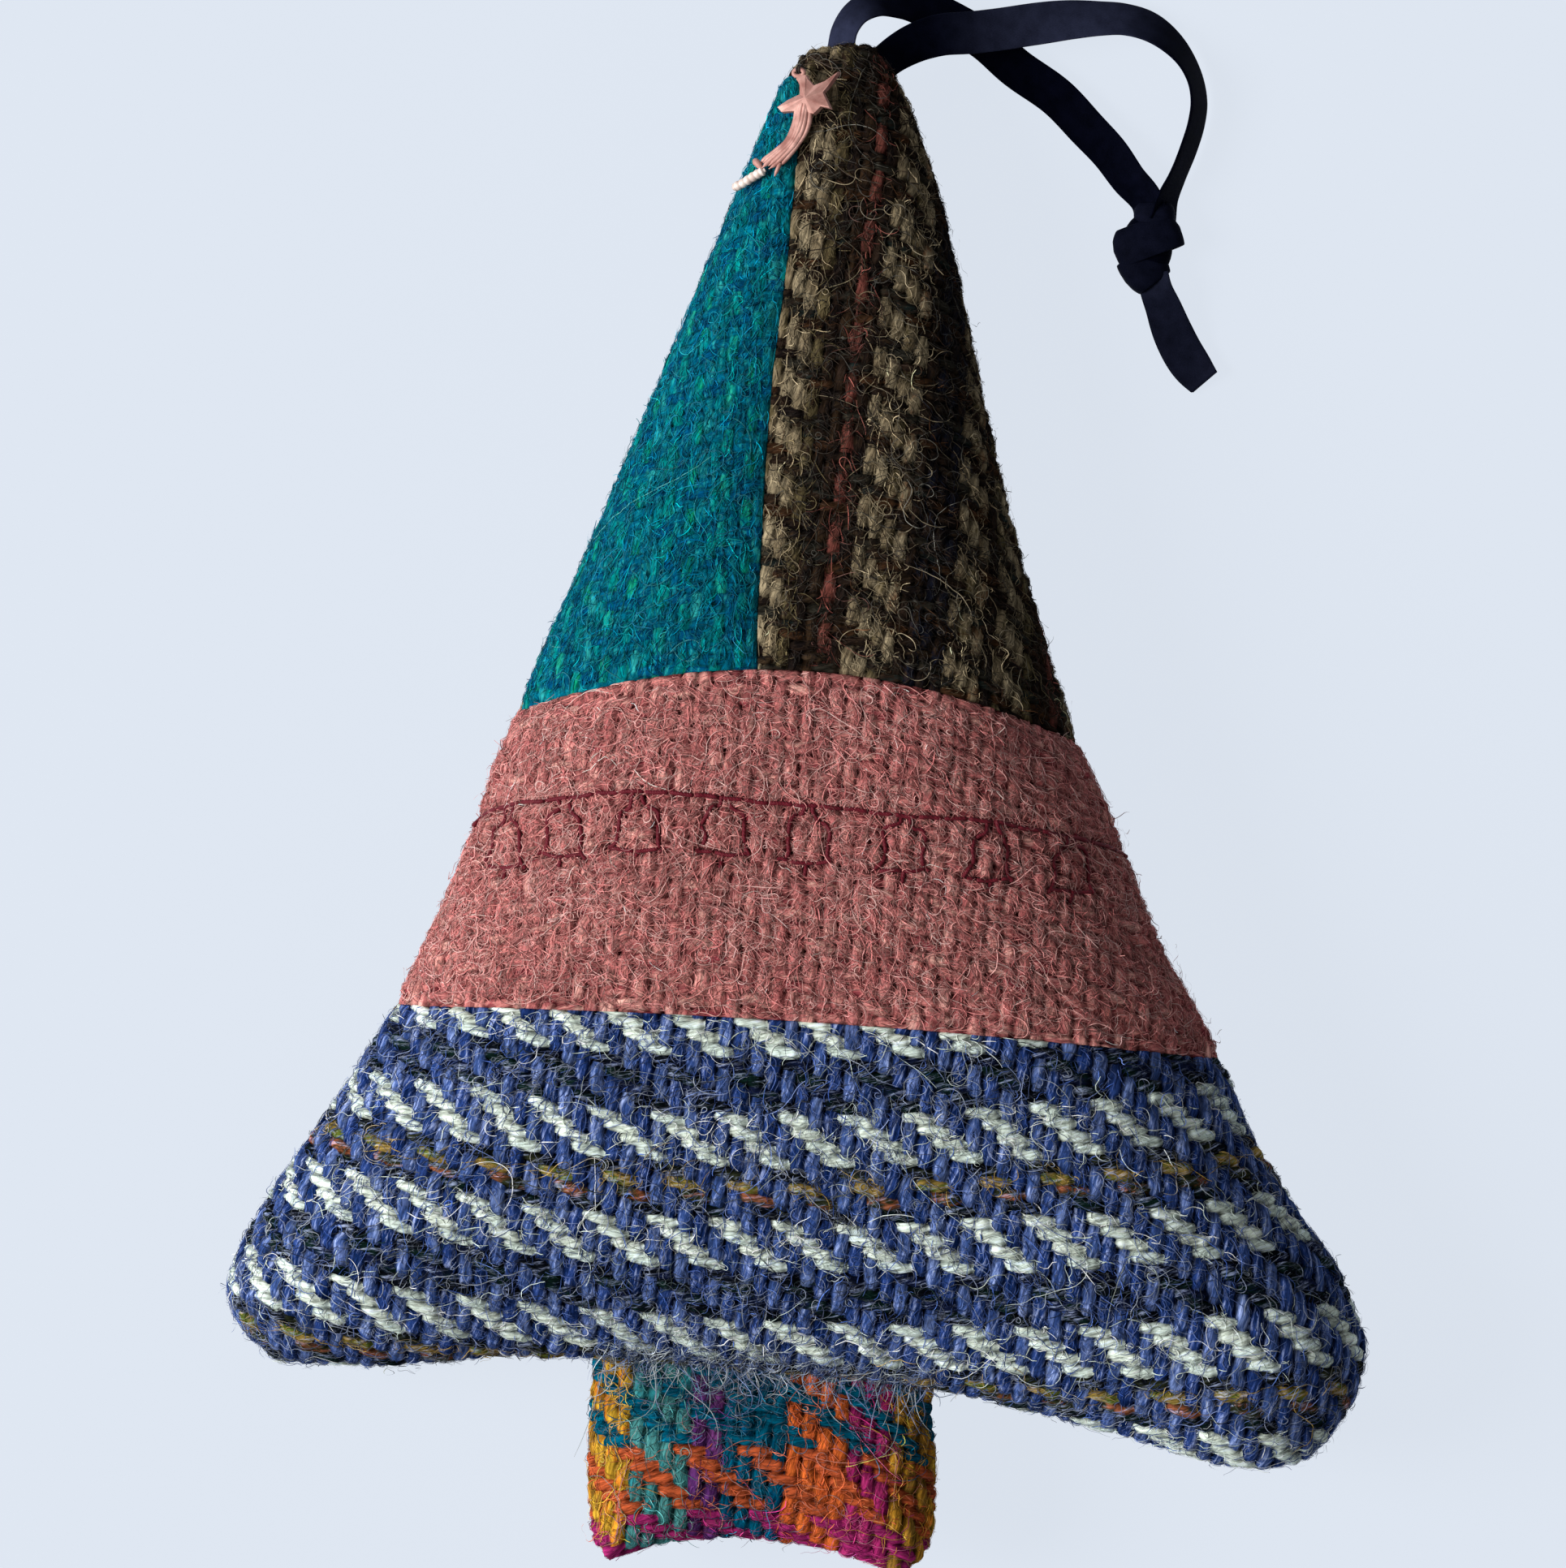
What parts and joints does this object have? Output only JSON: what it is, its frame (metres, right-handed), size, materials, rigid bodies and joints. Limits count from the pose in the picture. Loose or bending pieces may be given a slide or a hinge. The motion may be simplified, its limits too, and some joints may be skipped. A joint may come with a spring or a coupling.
{
  "type": "fabric christmas tree ornament",
  "caption": "Padded patchwork tweed tree with a padded trunk, a metal shooting-star charm on a thread and a knotted satin ribbon loop at the tip for hanging.",
  "frame": {"origin": "on the table, under the middle of the padded tree and trunk", "axes": "+Y from the trunk to the tip, +Z out of the patchwork front, +X to the ribbon's side; it lies on its back"},
  "size_m": [0.0885, 0.122, 0.0216],
  "materials": {
    "teal_tweed": "woven wool tweed, fuzzy",
    "brown_tweed": "woven wool tweed, fuzzy",
    "pink_tweed": "woven wool tweed, fuzzy",
    "blue_tweed": "twill-woven wool tweed",
    "check_tweed": "woven wool check",
    "fibre_filling": "loose fibre filling",
    "sewing_thread": "spun thread",
    "red_thread": "glossy machine thread",
    "rose_gold": "rose gold plated, polished",
    "black_satin": "satin ribbon"
  },
  "bodies": {
    "tree": {"teal_panel": "teal_tweed", "brown_panel": "brown_tweed", "pink_panel": "pink_tweed", "blue_panel": "blue_tweed", "back_panel": "brown_tweed", "body_stuffing": "fibre_filling", "trunk_front": "check_tweed", "trunk_back": "check_tweed", "trunk_stuffing": "fibre_filling", "waist_seam_thread": "sewing_thread", "shoulder_seam_thread": "sewing_thread", "crown_seam_thread": "sewing_thread", "side_seam_thread": "sewing_thread", "trunk_seam_thread": "sewing_thread", "trunk_joining_thread": "sewing_thread", "decorative_line_stitch": "red_thread", "decorative_bell_stitch": "red_thread", "charm_thread": "sewing_thread"},
    "charm": {"charm": "rose_gold"},
    "hanger": {"ribbon_short_strand": "black_satin", "ribbon_long_strand": "black_satin", "ribbon_knot": "black_satin", "ribbon_tail_lower": "black_satin", "ribbon_tail_upper": "black_satin"}
  },
  "joints": [
    {"name": "charm_swing", "type": "hinge", "parent": "tree", "child": "charm", "pos_m": [-0.00524, 0.05596, 0.01135], "axis": [-0.3941, 0.1416, 0.9081], "range_deg": [-40, 40]},
    {"name": "hanger_flop", "type": "hinge", "parent": "tree", "child": "hanger", "pos_m": [-0.00185, 0.05855, 0.0065], "axis": [0, -1, 0], "range_deg": [0, 120]}
  ]
}
